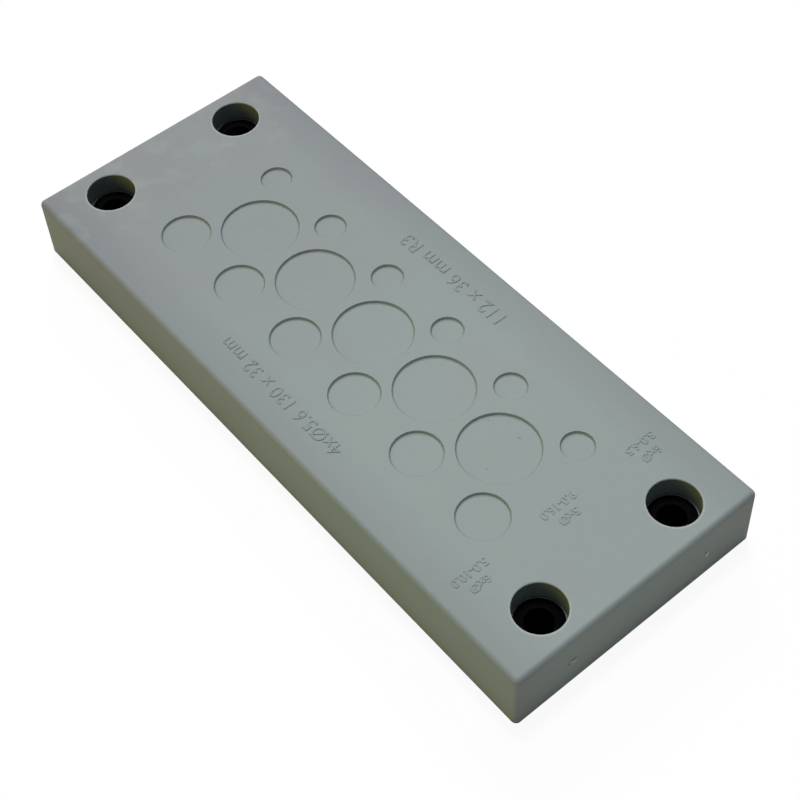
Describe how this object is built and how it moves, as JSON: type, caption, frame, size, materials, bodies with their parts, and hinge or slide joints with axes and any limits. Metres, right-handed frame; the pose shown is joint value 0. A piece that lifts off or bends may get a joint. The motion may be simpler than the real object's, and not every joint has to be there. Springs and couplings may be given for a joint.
{
  "type": "cable entry plate",
  "caption": "Flat rectangular cable entry plate with round pierceable membranes in staggered rows and a sunken screw hole near each corner.",
  "frame": {"origin": "centre of the underside, in the plane of the skirt's base and the lip's crest", "axes": "+X along the plate, +Y across it towards the row of small entries, +Z out of the cable face"},
  "size_m": [0.1464, 0.0574, 0.015],
  "materials": {
    "grey_elastomer": "moulded, satin",
    "black_polyamide": "moulded, matt"
  },
  "bodies": {
    "root": {"sealing_body": "grey_elastomer", "carrier_frame": "black_polyamide"}
  },
  "joints": []
}
